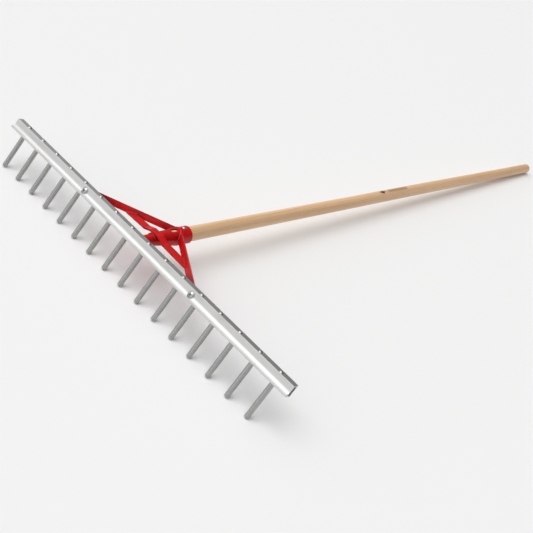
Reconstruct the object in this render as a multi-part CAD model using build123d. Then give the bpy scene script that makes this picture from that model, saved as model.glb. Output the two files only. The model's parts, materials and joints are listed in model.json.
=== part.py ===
from build123d import *
import os
from math import acos, asin, atan2, cos, degrees, hypot, radians, sin, sqrt

# Wide levelling rake: a hollow aluminium bar with sixteen round tines, a welded steel bracket
# bolted to its back, and a round wooden handle.
#
# Every piece is drawn in the head's own frame, in millimetres: X along the bar, Y from the bar
# towards the handle, Z up along the tines, and the origin under the bar's middle on the tine
# line. The last section lays the finished rake down as it rests, on its tine tips and the end
# of its handle, with the origin under the middle of it.

BASE = (Align.CENTER, Align.CENTER, Align.MIN)

# ---------------------------------------------------------------- driving dimensions

# tines
tine_count = 16
tine_pitch = 47.0
tine_diameter = 9.2
tine_length = 68.0
tine_tip_chamfer = 0.5
tenon_diameter = 6.0
tenon_fit = 0.04
peen_diameter = 8.6
peen_height = 1.7
peen_overlap = 0.5

# aluminium bar
bar_overhang = 32.1
bar_depth = 10.6
bar_front_height = 19.8
bar_top_rise = 3.3
bar_wall = 2.0
bar_edge_radius = 0.5
lip_reach = 4.9
lip_thickness = 3.2
cove_height = 8.3

# handle and the socket that holds it
handle_diameter = 28.0
handle_length = 1579.0
handle_end_radius = 9.0
handle_rise = 23.8
handle_axis_height = 1.7
handle_insertion = 58.0
handle_shoulder_depth = 0.4
handle_shoulder_gap = 1.0
handle_fit = 0.12
socket_wall = 2.8
socket_length = 121.3
socket_barrel_length = 28.0
socket_tail_radius = 7.5
socket_tail_lift = 6.4
socket_seam = 1.2
slot_length = 15.0
slot_width = 8.4
slot_from_mouth = 36.7

# screw through the socket into the wood
screw_diameter = 4.2
screw_length = 22.0
screw_head_diameter = 8.4
screw_head_height = 2.5
screw_recess = 1.3
screw_recess_depth = 1.5
screw_point_diameter = 0.6
screw_from_mouth = 11.9
screw_hole_clearance = 0.25
screw_pilot_fit = 0.02

# braces, flat bar on edge, from the bar's back to the sides of the socket
brace_height = 13.3
brace_thickness = 3.2
brace_bend_x = 140.9
brace_bend_radius = 6.0
brace_foot_length = 24.0
brace_bend_height = 13.7
brace_top_distance = 89.3
brace_top_lift = 9.0

# saddle strap, flat bar over the top of the socket and out to both braces
strap_width = 13.8
strap_thickness = 3.6
strap_distance = 43.2
strap_flat_half = 10.1
strap_shoulder_x = 24.9
strap_shoulder_drop = 5.5
strap_arm_x = 87.4
strap_arm_drop = 13.6
strap_arm_sweep = 7.0
strap_bend_radius = 5.0

# flanged button bolts, washers and nuts that hold the braces to the bar
bolt_x = 151.0
bolt_height = 10.2
bolt_diameter = 6.0
bolt_length = 25.0
bolt_hole_clearance = 0.2
bolt_flange_diameter = 12.8
bolt_flange_thickness = 1.0
bolt_dome_diameter = 10.5
bolt_head_height = 3.3
bolt_key_width = 4.0
bolt_key_depth = 2.0
spot_face_clearance = 0.5
washer_diameter = 12.0
washer_thickness = 1.6
washer_hole_clearance = 0.2
nut_width = 10.0
nut_height = 5.0
nut_chamfer = 0.5
thread_fit = 0.02

# ---------------------------------------------------------------- sizes that follow

bar_length = (tine_count - 1) * tine_pitch + 2 * bar_overhang
bar_front = -bar_depth / 2
bar_back = bar_depth / 2
bar_back_height = bar_front_height + bar_top_rise
bar_top_slope = degrees(atan2(bar_top_rise, bar_depth))
cove_top = lip_thickness + cove_height
cove_radius = (cove_height**2 + lip_reach**2) / (2 * lip_reach)
cove_turn = asin(cove_height / cove_radius)

tine_radius = tine_diameter / 2
tenon_radius = tenon_diameter / 2
tine_places = [(i - (tine_count - 1) / 2) * tine_pitch for i in range(tine_count)]

rise_cos = cos(radians(handle_rise))
rise_sin = sin(radians(handle_rise))
handle_radius = handle_diameter / 2
seat_radius = handle_radius - handle_shoulder_depth
socket_bore_radius = seat_radius + handle_fit
socket_radius = socket_bore_radius + socket_wall
barrel_start = socket_length - socket_barrel_length
handle_start = socket_length - handle_insertion
handle_end = handle_start + handle_length
shoulder_distance = socket_length + handle_shoulder_gap
slot_distance = socket_length - slot_from_mouth
screw_distance = socket_length - screw_from_mouth

foot_middle = bar_back + brace_thickness / 2
foot_end_x = brace_bend_x + brace_foot_length
reach = 4 * (bar_length + handle_length)

# The handle's axis leaves the bar's middle and rises towards the user. On this plane Z runs
# along the handle and Y points up, square to it.
handle_plane = Plane(
    origin=(0, 0, handle_axis_height), x_dir=(-1, 0, 0), z_dir=(0, rise_cos, rise_sin)
)


def along_handle(distance, lift=0.0, side=0.0):
    """The point at a distance along the handle's axis, lifted square to it."""
    return handle_plane.from_local_coords(Vector(-side, lift, distance))


def station(distance):
    """The socket's outer circle at a distance: how far its centre is lifted, and its radius."""
    share = max(0.0, (barrel_start - distance) / barrel_start)
    lift = share * socket_tail_lift
    radius = socket_radius + share * (socket_tail_radius - socket_radius)
    return lift, radius


def round_run(start, end, inset):
    """A solid along the handle's axis that follows the socket's outside, inset from it."""
    rings = []
    for distance in (start, end):
        lift, radius = station(distance)
        ring_plane = handle_plane.offset(distance) * Pos(0, lift, 0)
        rings.append(ring_plane * Circle(radius - inset))
    return loft(rings, ruled=True)


def dome(diameter, height):
    """A round cap with its flat side on the XY plane."""
    ball_radius = ((diameter / 2) ** 2 + height**2) / (2 * height)
    ball = Pos(0, 0, height - ball_radius) * Sphere(ball_radius)
    return split(ball, bisect_by=Plane.XY, keep=Keep.TOP)


def mirrored(piece):
    return mirror(piece, about=Plane.YZ)


# ---------------------------------------------------------------- aluminium bar and tines

def head_bar():
    """Extruded hollow bar with a coved front that runs out into a lip along the bottom."""
    cove_centre = (bar_front - cove_radius, cove_top)
    cove_middle = (
        cove_centre[0] + cove_radius * cos(cove_turn / 2),
        cove_centre[1] - cove_radius * sin(cove_turn / 2),
    )
    lip_front = bar_front - lip_reach
    outline = Curve() + [
        ThreePointArc((lip_front, lip_thickness), cove_middle, (bar_front, cove_top)),
        Polyline(
            (bar_front, cove_top),
            (bar_front, bar_front_height),
            (bar_back, bar_back_height),
            (bar_back, 0),
            (lip_front, 0),
            (lip_front, lip_thickness),
        ),
    ]
    outer = make_face(outline)
    corners = outer.vertices().filter_by(lambda v: abs(v.Y - cove_top) > 0.01)
    outer = fillet(corners, bar_edge_radius)
    inner_front = bar_front + bar_wall
    inner_back = bar_back - bar_wall
    slope = bar_top_rise / bar_depth
    roof_drop = bar_wall * sqrt(1 + slope**2)
    inner = make_face(
        Polyline(
            (inner_front, bar_wall),
            (inner_front, bar_front_height + bar_wall * slope - roof_drop),
            (inner_back, bar_back_height - bar_wall * slope - roof_drop),
            (inner_back, bar_wall),
            close=True,
        )
    )
    section = Plane.YZ * (outer - inner)
    bar = extrude(section, bar_length / 2, both=True)
    hole = Cylinder(tenon_radius + tenon_fit, 4 * bar_back_height)
    bar -= [Pos(x, 0, 0) * hole for x in tine_places]
    bolt_hole = Rot(90, 0, 0) * Cylinder(bolt_diameter / 2 + bolt_hole_clearance, 4 * bar_depth)
    spot_radius = bolt_flange_diameter / 2 + spot_face_clearance
    spot_depth = 2 * lip_reach
    spot_face = Rot(90, 0, 0) * Cylinder(spot_radius, spot_depth)
    for side in (-1, 1):
        bar -= Pos(side * bolt_x, 0, bolt_height) * bolt_hole
        bar -= Pos(side * bolt_x, bar_front - spot_depth / 2, bolt_height) * spot_face
    return bar


def tine(x):
    """Round rod shouldered under the bar, its tenon through the bar and peened over on top."""
    rod = Pos(0, 0, -tine_length / 2) * Cylinder(tine_radius, tine_length)
    rod = chamfer(rod.edges().group_by(Axis.Z)[0], tine_tip_chamfer)
    top_height = (bar_front_height + bar_back_height) / 2
    top_plane = Plane((0, 0, top_height), x_dir=(1, 0, 0)).rotated((bar_top_slope, 0, 0))
    tenon = Pos(0, 0, bar_back_height) * Cylinder(tenon_radius, 2 * bar_back_height)
    tenon = split(tenon, bisect_by=top_plane.offset(peen_overlap), keep=Keep.BOTTOM)
    peen = top_plane * dome(peen_diameter, peen_height)
    return Pos(x, 0, 0) * (rod + tenon + peen)


# ---------------------------------------------------------------- socket, braces and strap

def socket_blank():
    """The outside of the socket as a solid: a barrel, then a cone that lifts to the bar."""
    barrel = round_run(barrel_start, socket_length, 0)
    cone = round_run(0, barrel_start, 0)
    return barrel + cone - in_front_of(bar_back)


def in_front_of(y):
    """Everything on the tine side of an upright plane across the rake."""
    return Pos(0, y - reach / 2, 0) * Box(reach, reach, reach)


def handle_socket():
    """Rolled sheet socket with an open seam underneath, cut to stand on the bar's back."""
    spare = socket_wall
    bore = handle_plane.offset(barrel_start) * Pos(0, 0, (socket_barrel_length + spare) / 2)
    bore *= Cylinder(socket_bore_radius, socket_barrel_length + spare)
    cone_bore = round_run(0, barrel_start, socket_wall)
    shell = socket_blank() - bore - cone_bore
    seam_deep = socket_radius + socket_wall
    seam = handle_plane * Pos(0, -seam_deep / 2, socket_length / 2)
    seam *= Box(socket_seam, seam_deep, 2 * socket_length)
    up = handle_plane.y_dir
    slot_plane = Plane(along_handle(slot_distance), x_dir=handle_plane.z_dir, z_dir=up)
    slot = extrude(slot_plane * SlotOverall(slot_length, slot_width), 2 * socket_radius)
    screw_plane = Plane(along_handle(screw_distance), x_dir=(1, 0, 0), z_dir=up)
    hole_radius = screw_diameter / 2 + screw_hole_clearance
    screw_hole = screw_plane * Pos(0, 0, socket_radius) * Cylinder(hole_radius, socket_radius)
    return shell - seam - slot - screw_hole


def brace_root():
    """Where the middle of the right-hand brace meets the side of the socket."""
    return along_handle(brace_top_distance, brace_top_lift, socket_radius)


def brace_slopes():
    """How far the arm goes back, and how far it climbs, for each millimetre that it comes in."""
    root = brace_root()
    run = brace_bend_x - root.X
    return (root.Y - foot_middle) / run, (root.Z - brace_bend_height) / run


def brace():
    """Right-hand brace: a foot flat on the bar's back, then an arm up to the socket's side.

    The fold is square to the bar's own edges, so the foot keeps the slope of the arm.
    """
    back_rate, climb_rate = brace_slopes()
    plan_line = FilletPolyline(
        (foot_end_x, foot_middle),
        (brace_bend_x, foot_middle),
        (0, foot_middle + back_rate * brace_bend_x),
        radius=brace_bend_radius,
    )
    plan = extrude(trace(plan_line, brace_thickness), reach / 2, both=True)
    climb = climb_rate * brace_bend_x
    foot_fall = climb_rate / hypot(back_rate, 1) * brace_foot_length
    middle_line = [
        (foot_end_x, brace_bend_height - foot_fall),
        (brace_bend_x, brace_bend_height),
        (0, brace_bend_height + climb),
    ]
    low_line = [(x, z - brace_height / 2) for x, z in middle_line]
    high_line = [(x, z + brace_height / 2) for x, z in reversed(middle_line)]
    band = Polyline(*low_line, *high_line, close=True)
    arm = plan & extrude(make_face(Plane.XZ * band), reach / 2, both=True)
    bolt_hole = Rot(90, 0, 0) * Cylinder(bolt_diameter / 2 + bolt_hole_clearance, 4 * bar_depth)
    arm -= Pos(bolt_x, foot_middle, bolt_height) * bolt_hole
    arm -= socket_blank()
    return arm.solids().sort_by(Axis.X)[-1]


def saddle_strap():
    """Flat bar bent over the socket, with arms that drop and sweep back to the braces."""
    lift, radius = station(strap_distance)
    far_lift, far_radius = station(0)
    climb = atan2(socket_radius - far_lift - far_radius, barrel_start)
    seat = Plane(
        along_handle(strap_distance, lift + radius),
        x_dir=(1, 0, 0),
        z_dir=(0, -sin(radians(handle_rise) + climb), cos(radians(handle_rise) + climb)),
    )
    middle = strap_thickness / 2
    half_line = [
        (strap_flat_half, middle),
        (strap_shoulder_x, middle - strap_shoulder_drop),
        (strap_arm_x, middle - strap_arm_drop),
    ]
    fall = (strap_arm_drop - strap_shoulder_drop) / (strap_arm_x - strap_shoulder_x)
    spare_x = strap_arm_x + 3 * strap_width
    half_line[2] = (spare_x, middle - strap_shoulder_drop - fall * (spare_x - strap_shoulder_x))
    left_line = [(-x, n) for x, n in reversed(half_line)]
    bent_line = FilletPolyline(*left_line, *half_line, radius=strap_bend_radius)
    edge_plane = Plane(seat.origin, x_dir=(1, 0, 0), z_dir=-seat.y_dir)
    plate = extrude(edge_plane * trace(bent_line, strap_thickness), 4 * strap_width, both=True)
    sweep_rate = strap_arm_sweep / (strap_arm_x - strap_shoulder_x)
    sweep = sweep_rate * (spare_x - strap_shoulder_x)
    front = -strap_width / 2
    outline = make_face(
        Polyline(
            (-spare_x, front + sweep),
            (-strap_shoulder_x, front),
            (strap_shoulder_x, front),
            (spare_x, front + sweep),
            (spare_x, front + sweep + strap_width),
            (strap_shoulder_x, front + strap_width),
            (-strap_shoulder_x, front + strap_width),
            (-spare_x, front + sweep + strap_width),
            close=True,
        )
    )
    strap = plate & extrude(seat * outline, 4 * strap_width, both=True)
    strap -= behind_brace()
    strap -= mirrored(behind_brace())
    return strap.solids().sort_by(SortBy.VOLUME)[-1]


def behind_brace():
    """Everything beyond the inner face of the right-hand brace's arm."""
    back_rate, _ = brace_slopes()
    outward = Vector(back_rate, 1, 0) / hypot(back_rate, 1)
    start = Vector(brace_bend_x, foot_middle, 0) - outward * (brace_thickness / 2)
    face = Plane(start, x_dir=(0, 0, 1), z_dir=outward)
    return face * Pos(0, 0, reach / 2) * Box(reach, reach, reach)


# ---------------------------------------------------------------- handle and fasteners

def handle():
    """Round wooden handle, rounded at its free end and turned down to fit the socket."""
    shaft = Cylinder(handle_radius, handle_end - shoulder_distance, align=BASE)
    shaft = fillet(shaft.edges().group_by(Axis.Z)[-1], handle_end_radius)
    shaft = handle_plane.offset(shoulder_distance) * shaft
    seat = Cylinder(seat_radius, shoulder_distance - barrel_start, align=BASE)
    seat = handle_plane.offset(barrel_start) * seat
    cone = round_run(handle_start, barrel_start, socket_wall + handle_fit)
    screw_plane = Plane(along_handle(screw_distance), z_dir=handle_plane.y_dir)
    pilot = screw_plane * Pos(0, 0, socket_radius - screw_length / 2)
    pilot *= Cylinder(screw_diameter / 2 + screw_pilot_fit, screw_length + 2 * screw_pilot_fit)
    return shaft + seat + cone - pilot


def socket_screw():
    """Domed cross-recess wood screw through the top of the socket."""
    head = dome(screw_head_diameter, screw_head_height)
    for turn in (0, 90):
        bar = Rot(0, 0, turn) * Box(screw_head_diameter / 2, screw_recess, screw_recess_depth)
        head -= Pos(0, 0, screw_head_height - screw_recess_depth / 2) * bar
    point = screw_diameter
    shank_length = screw_length - point
    shank = Pos(0, 0, -shank_length / 2) * Cylinder(screw_diameter / 2, shank_length)
    tip = Cone(screw_point_diameter / 2, screw_diameter / 2, point)
    tip = Pos(0, 0, -shank_length - point / 2) * tip
    seat = Plane(along_handle(screw_distance, socket_radius), z_dir=handle_plane.y_dir)
    return seat * (head + shank + tip)


def bolt(side):
    """Flanged button bolt from the front of the bar through the brace's foot."""
    flange = Cylinder(bolt_flange_diameter / 2, bolt_flange_thickness, align=BASE)
    crown = dome(bolt_dome_diameter, bolt_head_height - bolt_flange_thickness)
    crown = Pos(0, 0, bolt_flange_thickness) * crown
    key = RegularPolygon(bolt_key_width / 2, 6, major_radius=False)
    key_hole = Pos(0, 0, bolt_head_height - bolt_key_depth) * extrude(key, bolt_key_depth)
    shank = Pos(0, 0, -bolt_length / 2) * Cylinder(bolt_diameter / 2, bolt_length)
    return front_of_bar(side) * (flange + crown + shank - key_hole)


def front_of_bar(side):
    """The bolt's seat on the bar's front: Z points forward, out of the bar."""
    return Plane((side * bolt_x, bar_front, bolt_height), x_dir=(1, 0, 0), z_dir=(0, -1, 0))


def washer(side):
    ring = Circle(washer_diameter / 2) - Circle(bolt_diameter / 2 + washer_hole_clearance)
    depth = bar_depth + brace_thickness + washer_thickness
    return front_of_bar(side).offset(-depth) * extrude(ring, washer_thickness)


def nut(side):
    """Hexagon nut with its outer corners chamfered."""
    block = extrude(RegularPolygon(nut_width / 2, 6, major_radius=False), nut_height)
    corner_radius = nut_width / sqrt(3)
    top_radius = corner_radius - nut_chamfer
    round_off = Cone(top_radius + nut_height, top_radius, nut_height, align=BASE)
    block &= Rot(180, 0, 0) * Pos(0, 0, -nut_height) * round_off
    block -= Cylinder(bolt_diameter / 2 + thread_fit, 4 * nut_height)
    depth = bar_depth + brace_thickness + washer_thickness + nut_height
    return front_of_bar(side).offset(-depth) * block


# ---------------------------------------------------------------- assembly

def assemble():
    nodes = {"head_bar": head_bar()}
    for number, x in enumerate(tine_places, start=1):
        nodes[f"tine_{number:02d}"] = tine(x)
    nodes["handle_socket"] = handle_socket()
    right_brace = brace()
    nodes["brace_right"] = right_brace
    nodes["brace_left"] = mirrored(right_brace)
    nodes["saddle_strap"] = saddle_strap()
    for name, side in (("left", -1), ("right", 1)):
        nodes[f"bolt_{name}"] = bolt(side)
        nodes[f"washer_{name}"] = washer(side)
        nodes[f"nut_{name}"] = nut(side)
    nodes["socket_screw"] = socket_screw()
    nodes["handle"] = handle()
    return nodes


def rest_tilt():
    """How far the head tips forward when the tine tips and the handle's end share a floor.

    The back of each tine tip and the rounded end of the handle touch. In the head's frame the
    end's lowest ring is centred on low_y, low_z with the end's radius around it.
    """
    ring = handle_radius - handle_end_radius
    low = along_handle(handle_end - handle_end_radius, -ring)
    drop = low.Z + tine_length
    run = low.Y - (tine_radius - tine_tip_chamfer)
    return degrees(acos(handle_end_radius / hypot(drop, run)) - atan2(run, drop))


tilt = rest_tilt()
tipped = {name: Rot(-tilt, 0, 0) * piece for name, piece in assemble().items()}
boxes = [piece.bounding_box() for piece in tipped.values()]
front_edge = min(box.min.Y for box in boxes)
back_edge = max(box.max.Y for box in boxes)
lowest = min(box.min.Z for box in boxes)
ground = Pos(0, -(front_edge + back_edge) / 2, -lowest)

os.makedirs("parts", exist_ok=True)
for name, piece in tipped.items():
    placed = ground * piece
    placed.label = name
    export_step(placed, f"parts/{name}.step")

grip = ground * Rot(-tilt, 0, 0) * Location(along_handle(handle_end - handle_length / 2))
print("tilt", round(tilt, 3), "ground", ground.position, "grip", grip.position)
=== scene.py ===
import json
import math

import bmesh
import bpy
from mathutils import Matrix, Vector
from mathutils.bvhtree import BVHTree


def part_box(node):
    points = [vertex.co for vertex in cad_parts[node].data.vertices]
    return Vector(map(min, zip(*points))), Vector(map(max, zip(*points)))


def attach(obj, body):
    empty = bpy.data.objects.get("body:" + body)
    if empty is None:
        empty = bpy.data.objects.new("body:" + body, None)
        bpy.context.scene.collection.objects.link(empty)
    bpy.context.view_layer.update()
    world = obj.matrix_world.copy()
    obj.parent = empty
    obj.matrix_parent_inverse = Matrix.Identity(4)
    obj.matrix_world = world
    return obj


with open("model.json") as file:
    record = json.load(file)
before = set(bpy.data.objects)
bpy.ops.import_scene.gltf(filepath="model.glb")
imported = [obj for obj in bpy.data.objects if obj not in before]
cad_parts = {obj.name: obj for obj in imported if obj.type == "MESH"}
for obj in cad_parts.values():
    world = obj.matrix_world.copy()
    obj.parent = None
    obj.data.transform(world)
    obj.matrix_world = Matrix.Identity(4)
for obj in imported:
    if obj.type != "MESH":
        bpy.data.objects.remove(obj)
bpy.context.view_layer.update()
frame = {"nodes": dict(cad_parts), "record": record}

nodes = frame["nodes"]


# ------------------------------------------------------------------ aluminium bar
# The head of the rake is one length of hollow aluminium extrusion, left as it came from
# the mill: satin, with fine die lines along it and a few soft marks from handling.
# Sixteen holes pass through it for the tines and two for the bolts of the bracket.

class Value:
    """A number, colour or vector inside a finish. Sums written with it become Math nodes."""

    def __init__(self, finish, socket):
        self.finish = finish
        self.socket = socket

    def sum(self, operation, first, second=0.0):
        return self.finish.add("ShaderNodeMath", {"operation": operation}, {0: first, 1: second})

    def __add__(self, other):
        return self.sum("ADD", self, other)

    def __radd__(self, other):
        return self.sum("ADD", other, self)

    def __sub__(self, other):
        return self.sum("SUBTRACT", self, other)

    def __rsub__(self, other):
        return self.sum("SUBTRACT", other, self)

    def __mul__(self, other):
        return self.sum("MULTIPLY", self, other)

    def __rmul__(self, other):
        return self.sum("MULTIPLY", other, self)

    def __truediv__(self, other):
        return self.sum("DIVIDE", self, other)

    def __pow__(self, other):
        return self.sum("POWER", self, other)

    def __abs__(self):
        return self.sum("ABSOLUTE", self)


class Finish:
    """The nodes of one finish. add() makes a node, settings first, and hands on an output."""

    def __init__(self, owner):
        owner.use_nodes = True
        self.owner = owner
        self.tree = owner.node_tree

    def add(self, kind, settings, inputs, output=0):
        node = self.tree.nodes.new(kind)
        for name, setting in settings.items():
            setattr(node, name, setting)
        self.fill(node, inputs)
        return Value(self, node.outputs[output])

    def fill(self, node, inputs):
        for name, value in inputs.items():
            if isinstance(value, Value):
                self.tree.links.new(value.socket, node.inputs[name])
            else:
                node.inputs[name].default_value = value

    def place(self):
        return self.add("ShaderNodeTexCoord", {}, {}, "Object")

    def stretched(self, vector, shares):
        return self.add("ShaderNodeVectorMath", {"operation": "MULTIPLY"}, {0: vector, 1: shares})

    def noise(self, vector, scale, detail=3.0, roughness=0.55, distortion=0.0):
        inputs = {"Vector": vector, "Scale": scale, "Detail": detail}
        inputs |= {"Roughness": roughness, "Distortion": distortion}
        return self.add("ShaderNodeTexNoise", {}, inputs)

    def step(self, value, start, end):
        inputs = {"Value": value, "From Min": start, "From Max": end}
        return self.add("ShaderNodeMapRange", {"interpolation_type": "SMOOTHSTEP"}, inputs)

    def blend(self, share, first, second):
        inputs = {0: share, 6: first, 7: second}
        return self.add("ShaderNodeMix", {"data_type": "RGBA"}, inputs, 2)

    def bump(self, height, distance, strength=1.0, normal=None):
        inputs = {"Height": height, "Distance": distance, "Strength": strength}
        if normal:
            inputs["Normal"] = normal
        return self.add("ShaderNodeBump", {}, inputs)

    def rounded_edge(self, radius):
        return self.add("ShaderNodeBevel", {"samples": 8}, {"Radius": radius})

    def surface(self, inputs):
        self.fill(self.tree.nodes["Principled BSDF"], inputs)


def cover(piece, finish):
    """Gives every material slot of a piece the finish."""
    if not piece.material_slots:
        piece.data.materials.append(finish.owner)
    for slot in piece.material_slots:
        slot.material = finish.owner


mill_light = (0.64, 0.64, 0.635, 1.0)
mill_dark = (0.50, 0.495, 0.485, 1.0)

mill = Finish(bpy.data.materials.new("mill_aluminium"))
mill_place = mill.place()
die_lines = mill.noise(mill.stretched(mill_place, (2.0, 1600.0, 1600.0)), 1.0, 4.0, 0.65)
broad_lines = mill.noise(mill.stretched(mill_place, (1.2, 320.0, 320.0)), 1.0, 2.0)
handling = mill.noise(mill.stretched(mill_place, (14.0, 60.0, 60.0)), 1.0, 4.0, 0.6, 0.6)
scuffs = mill.step(mill.noise(mill.stretched(mill_place, (60.0, 900.0, 500.0)), 1.0, 5.0), 0.62, 0.74)
tone = mill.step(handling, 0.40, 0.75) * 0.45 + broad_lines * 0.35 + scuffs * 0.25
mill.surface({
    "Base Color": mill.blend(tone, mill_light, mill_dark),
    "Metallic": 1.0,
    "Roughness": 0.38 + die_lines * 0.16 + scuffs * 0.12,
    "Normal": mill.bump(die_lines + broad_lines * 0.6, 0.00006, 0.7, mill.rounded_edge(0.0004)),
})
cover(nodes["head_bar"], mill)


# ------------------------------------------------------------------ tines
# Sixteen round steel rods. Each is turned down to a tenon that passes up through the bar,
# and its end is hammered over on top, which leaves a bright, slightly faceted head.

head_lean = math.radians(25.577)
tine_axis = Vector((0.0, math.sin(head_lean), math.cos(head_lean)))
peened_depth = 0.0021
tip_wear = 0.012
rod_light = (0.41, 0.41, 0.405, 1.0)
rod_dark = (0.27, 0.265, 0.255, 1.0)
hammered = (0.55, 0.55, 0.54, 1.0)
soil_stain = (0.30, 0.27, 0.23, 1.0)


def span_along(piece, direction):
    """How far a piece reaches along a direction, from its lowest to its highest point."""
    reach = [corner.co.dot(direction) for corner in piece.data.vertices]
    return min(reach), max(reach)


tine_bottom, tine_top = span_along(nodes["tine_01"], tine_axis)
rod = Finish(bpy.data.materials.new("drawn_steel_rod"))
rod_place = rod.place()
height = rod.add(
    "ShaderNodeVectorMath", {"operation": "DOT_PRODUCT"}, {0: rod_place, 1: tine_axis}, "Value"
)
draw_marks = rod.noise(rod.stretched(rod_place, (1500.0, 1500.0, 25.0)), 1.0, 3.0)
mill_skin = rod.noise(rod_place, 260.0, 5.0, 0.6)
peened = rod.step(height, tine_top - peened_depth, tine_top - peened_depth * 0.8)
worn = 1.0 - rod.step(height, tine_bottom, tine_bottom + tip_wear)
facets = rod.add("ShaderNodeTexVoronoi", {"feature": "F1"}, {"Vector": rod_place, "Scale": 620.0})
skin = rod.blend(rod.step(mill_skin, 0.30, 0.75) * 0.35, rod_light, rod_dark)
skin = rod.blend(worn * rod.step(mill_skin, 0.45, 0.60) * 0.20, skin, soil_stain)
rod.surface({
    "Base Color": rod.blend(peened, skin, hammered),
    "Metallic": 1.0,
    "Roughness": 0.17 + mill_skin * 0.08 + worn * 0.10 - peened * 0.05,
    "Normal": rod.bump(draw_marks * 0.2 + mill_skin * 0.04 + peened * facets * 4.0, 0.00010, 0.5),
})
for name, piece in nodes.items():
    if name.startswith("tine_"):
        cover(piece, rod)


# ------------------------------------------------------------------ welded steel bracket
# A rolled sheet socket, two flat-bar braces and a saddle strap, welded together and then
# powder coated red as one. The coat is thick enough to round the sheared edges over, and
# it has the faint orange-peel surface of powder. Its colour has painted shade: it is
# darker in the corners and between the parts, where shade falls.

red_coat = (0.64, 0.004, 0.006, 1.0)
# The dark red serves both the coat's random flow of tone and the painted shade in its corners.
red_flow_and_corner_shade = (0.12, 0.001, 0.002, 1.0)
bare_steel = (0.30, 0.28, 0.27, 1.0)

powder = Finish(bpy.data.materials.new("red_powder_coat"))
powder_place = powder.place()
peel = powder.noise(powder_place, 900.0, 2.0, 0.5)
flow = powder.noise(powder_place, 70.0, 3.0, 0.5)
specks = powder.step(powder.noise(powder_place, 1700.0, 2.0, 0.5), 0.74, 0.78)
# Painted shade: this ambient occlusion mask darkens the red in corners and between the parts, where
# shade falls.
corner = powder.add(
    "ShaderNodeAmbientOcclusion", {"samples": 8, "only_local": False}, {"Distance": 0.030}, "AO"
)
coat = powder.blend(powder.step(flow, 0.35, 0.75) * 0.25 + (1.0 - corner) * 1.3, red_coat, red_flow_and_corner_shade)
powder.surface({
    "Base Color": powder.blend(specks * 0.25, coat, bare_steel),
    "Roughness": 0.30 + flow * 0.10,
    "Specular IOR Level": 0.25,
    "Coat Weight": 0.12,
    "Coat Roughness": 0.10,
    "Normal": powder.bump(peel * 0.6 + flow, 0.00022, 0.35, powder.rounded_edge(0.0007)),
})
for name in ("handle_socket", "brace_right", "brace_left", "saddle_strap"):
    cover(nodes[name], powder)


# ------------------------------------------------------------------ weld beads
# Weld beads are laid where the pieces of the bracket meet: right round the ends of the
# braces and of the strap's arms, and across the socket along both edges of the strap.
# Each is a row of overlapping ripples about four millimetres wide, under the powder coat.

bead_width = 0.0042
bead_height = 0.0030
ripple_spacing = 0.0011
ripple_length = 2.2 * ripple_spacing
skin_voxel = 0.0004
touching = 0.0004


def surface_of(piece):
    """A search tree of a CAD piece's surface."""
    mesh = bmesh.new()
    mesh.from_mesh(piece.data)
    tree = BVHTree.FromBMesh(mesh)
    mesh.free()
    return tree


def meeting_loop(piece, other):
    """The outline, as a ring of points, where the end of one piece meets another."""
    tree = surface_of(other)
    points = []
    for corner in piece.data.vertices:
        nearest = tree.find_nearest(corner.co, touching)
        if nearest[0] is not None and all((corner.co - p).length > touching for p in points):
            points.append(corner.co.copy())
    middle = sum(points, Vector()) / len(points)
    first = (points[0] - middle).normalized()
    longest = max(points, key=lambda p: first.cross(p - middle).length)
    normal = first.cross(longest - middle).normalized()
    second = normal.cross(first)
    points.sort(key=lambda p: math.atan2((p - middle).dot(second), (p - middle).dot(first)))
    return points + [points[0]]


def even_steps(path, spacing):
    """Points at even steps along a path, each with the direction of travel."""
    steps = []
    for start, end in zip(path, path[1:]):
        count = max(1, round((end - start).length / spacing))
        for index in range(count):
            steps.append((start.lerp(end, index / count), (end - start).normalized()))
    return steps


def weld_bead(name, path):
    """A bead of weld along a path: flat ripples, run together into one skin."""
    bead = bmesh.new()
    for point, travel in even_steps(path, ripple_spacing):
        ripple = bmesh.ops.create_icosphere(bead, subdivisions=2, radius=0.5)["verts"]
        bmesh.ops.scale(bead, vec=(bead_width, bead_height, ripple_length), verts=ripple)
        turn = travel.to_track_quat("Z", "Y").to_matrix()
        bmesh.ops.rotate(bead, cent=(0, 0, 0), matrix=turn, verts=ripple)
        bmesh.ops.translate(bead, vec=point, verts=ripple)
    mesh = bpy.data.meshes.new(name)
    bead.to_mesh(mesh)
    bead.free()
    piece = bpy.data.objects.new(name, mesh)
    bpy.context.scene.collection.objects.link(piece)
    skin = piece.modifiers.new("one_skin", "REMESH")
    skin.mode = "VOXEL"
    skin.voxel_size = skin_voxel
    skin.use_smooth_shade = True
    cover(piece, powder)
    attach(piece, "root")


for side in ("right", "left"):
    brace = nodes["brace_" + side]
    weld_bead("weld_brace_" + side, meeting_loop(brace, nodes["handle_socket"]))

strap = nodes["saddle_strap"]
for side in ("right", "left"):
    weld_bead("weld_strap_" + side, meeting_loop(strap, nodes["brace_" + side]))

socket_surface = surface_of(nodes["handle_socket"])
saddle_half = 0.0095
saddle_steps = 12
flat_half = 0.012
above_rake = 1.0
strap_middle = [c.co for c in strap.data.vertices if abs(c.co.x) < flat_half]
edge_depths = (min(p.y for p in strap_middle), max(p.y for p in strap_middle))
for label, depth in zip(("front", "back"), edge_depths):
    path = []
    for index in range(saddle_steps + 1):
        across = saddle_half * (2 * index / saddle_steps - 1)
        hit = socket_surface.ray_cast(Vector((across, depth, above_rake)), Vector((0, 0, -1)))
        path.append(hit[0])
    weld_bead("weld_saddle_" + label, path)


# ------------------------------------------------------------------ bolts, nuts, washers, screw
# Two M6 flanged button bolts clamp the braces' feet to the bar, with a plain washer and a
# nut behind each, and one cross-recess screw holds the handle. All are bright zinc plated.

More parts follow.
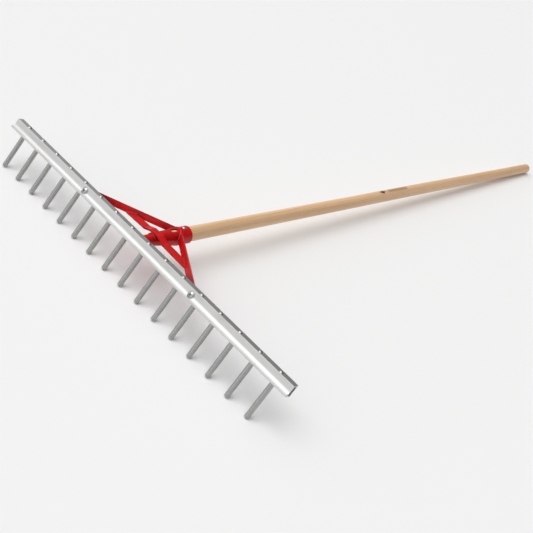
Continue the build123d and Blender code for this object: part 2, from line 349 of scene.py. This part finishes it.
zinc_light = (0.58, 0.58, 0.57, 1.0)
zinc_dark = (0.36, 0.37, 0.38, 1.0)
# This near-black is painted shade for the zinc's recesses, not dirt.
recess_shade_colour = (0.05, 0.048, 0.045, 1.0)

zinc = Finish(bpy.data.materials.new("bright_zinc"))
zinc_place = zinc.place()
cloud = zinc.noise(zinc_place, 420.0, 4.0, 0.6)
fine_scratches = zinc.noise(zinc.stretched(zinc_place, (3000.0, 500.0, 3000.0)), 1.0, 2.0)
# Painted shade: this ambient occlusion mask darkens the zinc in its recesses and tight corners, such
# as the screw's cross and the roots of the threads.
recess_shade_mask = zinc.add(
    "ShaderNodeAmbientOcclusion", {"samples": 8, "only_local": True}, {"Distance": 0.002}, "AO"
)
plate = zinc.blend(zinc.step(cloud, 0.35, 0.70), zinc_light, zinc_dark)
zinc.surface({
    "Base Color": zinc.blend((1.0 - recess_shade_mask) * 1.4, plate, recess_shade_colour),
    "Metallic": 1.0,
    "Roughness": 0.20 + cloud * 0.16,
    "Normal": zinc.bump(fine_scratches * 0.3 + cloud, 0.00005, 0.5, zinc.rounded_edge(0.0003)),
})
for name, piece in nodes.items():
    if name.split("_")[0] in ("bolt", "washer", "nut") or name == "socket_screw":
        cover(piece, zinc)


# ------------------------------------------------------------------ bolt threads
# The rolled thread of each M6 bolt shows behind its nut. Its ridges are turned as rings
# that hug the bolt's end, in the same bright zinc plate.

bolt_axis = Vector((0.0, math.cos(head_lean), -math.sin(head_lean)))
thread_radius = 0.0030
thread_pitch = 0.0010
thread_depth = 0.00022
root_clearance = 0.00001
thread_skin = 0.0001
end_chamfer = 0.0006

for side in ("right", "left"):
    nut_back = span_along(nodes["nut_" + side], bolt_axis)[1]
    bolt_back = span_along(nodes["bolt_" + side], bolt_axis)[1]
    low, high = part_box("washer_" + side)
    washer_middle = (low + high) / 2
    thread = bmesh.new()
    profile = []
    turns = int((bolt_back - nut_back - end_chamfer) / thread_pitch)
    for index in range(2 * turns + 1):
        along = index * thread_pitch / 2
        radius = thread_radius + (thread_depth if index % 2 else root_clearance)
        profile.append(thread.verts.new((radius, 0.0, along)))
    for first, second in zip(profile, profile[1:]):
        thread.edges.new((first, second))
    bmesh.ops.spin(
        thread, geom=thread.verts[:] + thread.edges[:], cent=(0, 0, 0), axis=(0, 0, 1),
        dvec=(0, 0, 0), angle=math.tau, steps=36, use_merge=True,
    )
    bmesh.ops.remove_doubles(thread, verts=thread.verts, dist=1e-6)
    bmesh.ops.solidify(thread, geom=thread.faces[:], thickness=thread_skin)
    bmesh.ops.recalc_face_normals(thread, faces=thread.faces)
    start = washer_middle + bolt_axis * (nut_back - washer_middle.dot(bolt_axis))
    turn = bolt_axis.to_track_quat("Z", "Y").to_matrix()
    bmesh.ops.rotate(thread, cent=(0, 0, 0), matrix=turn, verts=thread.verts)
    bmesh.ops.translate(thread, vec=start, verts=thread.verts)
    mesh = bpy.data.meshes.new("bolt_thread_" + side)
    thread.to_mesh(mesh)
    thread.free()
    piece = bpy.data.objects.new("bolt_thread_" + side, mesh)
    bpy.context.scene.collection.objects.link(piece)
    cover(piece, zinc)
    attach(piece, "root")


# ------------------------------------------------------------------ wooden handle
# A round ash handle, turned from a straight plank and sealed with a thin clear coat. The
# growth rings run along it as soft lines, with short dark pores between them, and a plain
# lozenge with a row of ticks is burnt into its top.

ash_light = (0.88, 0.59, 0.35, 1.0)
ash_dark = (0.58, 0.34, 0.17, 1.0)
ash_pore = (0.42, 0.25, 0.12, 1.0)
burnt = (0.12, 0.045, 0.020, 1.0)
ring_spacing = 0.0026
heart_across, heart_down = 0.031, -0.048
mark_middle, mark_start = -0.060, -0.108
lozenge_half_length, mark_half_width = 0.013, 0.0062
row_start, row_end, row_fade, tick_spacing = -0.086, 0.004, 0.001, 0.0072

grip = frame["record"]["mounts"][0]
grip_middle = Vector(grip["pos_m"])
grip_axis = Vector(grip["axis"])
grip_up = Vector((0.0, -grip_axis.z, grip_axis.y))

ash = Finish(bpy.data.materials.new("ash_wood"))
ash_place = ash.place()
measured = {}
for label, direction in (("along", grip_axis), ("up", grip_up), ("across", Vector((1, 0, 0)))):
    level = ash.add(
        "ShaderNodeVectorMath", {"operation": "DOT_PRODUCT"}, {0: ash_place, 1: direction}, "Value"
    )
    measured[label] = level - grip_middle.dot(direction)
along, up, across = measured["along"], measured["up"], measured["across"]
grain_place = ash.add(
    "ShaderNodeCombineXYZ", {}, {"X": across * 60.0, "Y": along * 1.6, "Z": up * 60.0}
)
wander = ash.noise(grain_place, 1.0, 2.0)
fibre_place = ash.add(
    "ShaderNodeCombineXYZ", {}, {"X": across * 1400.0, "Y": along * 22.0, "Z": up * 1400.0}
)
fibre = ash.noise(fibre_place, 1.0, 3.0, 0.6)
pore_place = ash.add(
    "ShaderNodeCombineXYZ", {}, {"X": across * 2600.0, "Y": along * 110.0, "Z": up * 2600.0}
)
pores = ash.step(ash.noise(pore_place, 1.0, 2.0, 0.5), 0.66, 0.74)
from_heart = ((across - heart_across) ** 2.0 + (up - heart_down) ** 2.0) ** 0.5
ring = ash.add(
    "ShaderNodeMath", {"operation": "FRACT"}, {0: from_heart / ring_spacing + wander * 3.0}
)
late_wood = ash.step(ring, 0.55, 0.95) * (1.0 - ash.step(ring, 0.95, 1.0))
shade = late_wood * 0.50 + ash.step(fibre, 0.3, 0.8) * 0.30 + ash.step(wander, 0.35, 0.65) * 0.3
timber = ash.blend(shade, ash_light, ash_dark)
timber = ash.blend(pores * (1.0 - late_wood) * 0.7, timber, ash_pore)
lozenge = abs(along - mark_start) / lozenge_half_length + abs(across) / mark_half_width
lozenge = ash.step(lozenge + (fibre - 0.5) * 0.3, 1.05, 0.85)
ticks = ash.add("ShaderNodeMath", {"operation": "PINGPONG"}, {0: along, 1: tick_spacing / 2})
ticks = ash.step(ticks + (fibre - 0.5) * 0.001, 0.0019, 0.0011)
row = ash.step(abs(across) + (fibre - 0.5) * 0.001, 0.0052, 0.0042)
row = row * ash.step(along, row_start, row_start + row_fade)
row = row * ash.step(along, row_end, row_end - row_fade)
scorch = ash.step(abs(across), 0.010, 0.003) * ash.step(abs(along - mark_middle), 0.075, 0.050)
mark = (lozenge + ticks * row + scorch * 0.10) * ash.step(up, 0.0, 0.004)
ash.surface({
    "Base Color": ash.blend(mark * 0.92, timber, burnt),
    "Roughness": 0.44 + fibre * 0.12 + mark * 0.2,
    "Coat Weight": 0.25,
    "Coat Roughness": 0.22,
    "Normal": ash.bump(fibre * 0.5 - pores * 0.6 - mark, 0.00012, 0.5),
})
cover(nodes["handle"], ash)


# ------------------------------------------------------------------ floor, light and camera
# A plain pale floor under one soft light, in a room that is pale overhead and in front and
# darker behind and to the right, as metal needs something dark to reflect. The walls are
# as pale as the floor where they meet it.

floor_size = 40.0
floor_mesh = bmesh.new()
bmesh.ops.create_grid(floor_mesh, x_segments=1, y_segments=1, size=floor_size / 2)
mesh = bpy.data.meshes.new("floor")
floor_mesh.to_mesh(mesh)
floor_mesh.free()
floor = bpy.data.objects.new("floor", mesh)
bpy.context.scene.collection.objects.link(floor)
paper = Finish(bpy.data.materials.new("pale_floor"))
paper.surface({"Base Color": (0.90, 0.90, 0.90, 1.0), "Roughness": 0.9})
cover(floor, paper)

room_pale = (0.98, 0.98, 0.98, 1.0)
room_dark = (0.13, 0.125, 0.12, 1.0)
wall_foot = (0.86, 0.86, 0.86, 1.0)
foot_start, foot_end = 0.065, 0.10

world = bpy.data.worlds.new("studio")
bpy.context.scene.world = world
room = Finish(world)
direction = room.add("ShaderNodeTexCoord", {}, {}, "Generated")
front = room.add(
    "ShaderNodeVectorMath", {"operation": "DOT_PRODUCT"},
    {0: direction, 1: Vector((-0.45, -0.60, 0.66))}, "Value",
)
glow = room.blend(room.step(front, 0.08, 0.60), room_dark, room_pale)
level = room.add(
    "ShaderNodeVectorMath", {"operation": "DOT_PRODUCT"},
    {0: direction, 1: Vector((0.0, 0.0, 1.0))}, "Value",
)
glow = room.blend(room.step(level, foot_end, foot_start), glow, wall_foot)
room.fill(world.node_tree.nodes["Background"], {"Color": glow, "Strength": 1.0})


sky = bpy.data.lights.new("soft_overhead", "SUN")
sky.energy = 1.15
sky.angle = math.radians(50.0)
lamp = bpy.data.objects.new("soft_overhead", sky)
lamp.rotation_euler = Vector((0.35, 0.30, -1.0)).to_track_quat("-Z", "Y").to_euler()
bpy.context.scene.collection.objects.link(lamp)

lens = bpy.data.cameras.new("camera")
lens.lens = 53.39
lens.sensor_width = 36.0
camera = bpy.data.objects.new("camera", lens)
view = Vector((-0.4461, 0.7256, -0.5239)).normalized()
upward = Vector((-0.5966, 0.1953, 0.7784))
right = view.cross(upward).normalized()
upward = right.cross(view)
camera.rotation_mode = "QUATERNION"
camera.location = (0.7705, -1.6372, 0.8164)
camera.rotation_quaternion = Matrix((right, upward, -view)).transposed().to_quaternion()
bpy.context.scene.collection.objects.link(camera)
bpy.context.scene.camera = camera
bpy.context.scene.view_settings.view_transform = "Standard"
